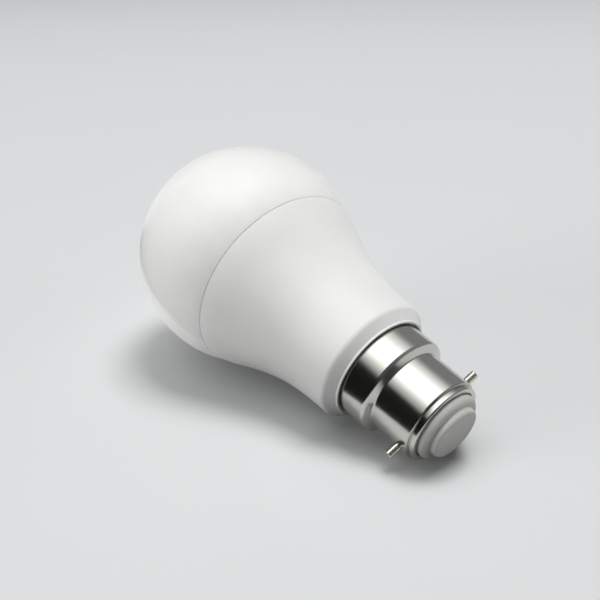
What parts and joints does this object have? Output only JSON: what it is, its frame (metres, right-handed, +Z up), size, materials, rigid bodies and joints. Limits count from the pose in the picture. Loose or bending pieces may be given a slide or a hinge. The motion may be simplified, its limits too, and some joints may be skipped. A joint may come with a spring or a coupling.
{
  "type": "led bulb",
  "caption": "Round LED lamp with an opal dome, a white waisted housing and a bayonet cap with a grey end plug; it lights when pushed and turned into a holder.",
  "frame": {"origin": "on the surface the bulb lies on, under the middle of its bounding box", "axes": "+Z up; +X along the bulb's axis as seen from above, from the dome towards the cap, with the axis falling 15.4 degrees towards the cap; Y across"},
  "size_m": [0.1074, 0.06, 0.06],
  "materials": {
    "opal_dome": "opal white, softly glossy",
    "white_body": "white, satin",
    "nickel_cap": "bright nickel plate",
    "grey_plug": "grey, moulded matte",
    "nickel_pin": "bright nickel plate"
  },
  "bodies": {
    "root": {"diffuser": "opal_dome", "housing": "white_body", "cap_shell": "nickel_cap", "insulator": "grey_plug", "bayonet_pin_1": "nickel_pin", "bayonet_pin_2": "nickel_pin"}
  },
  "joints": []
}
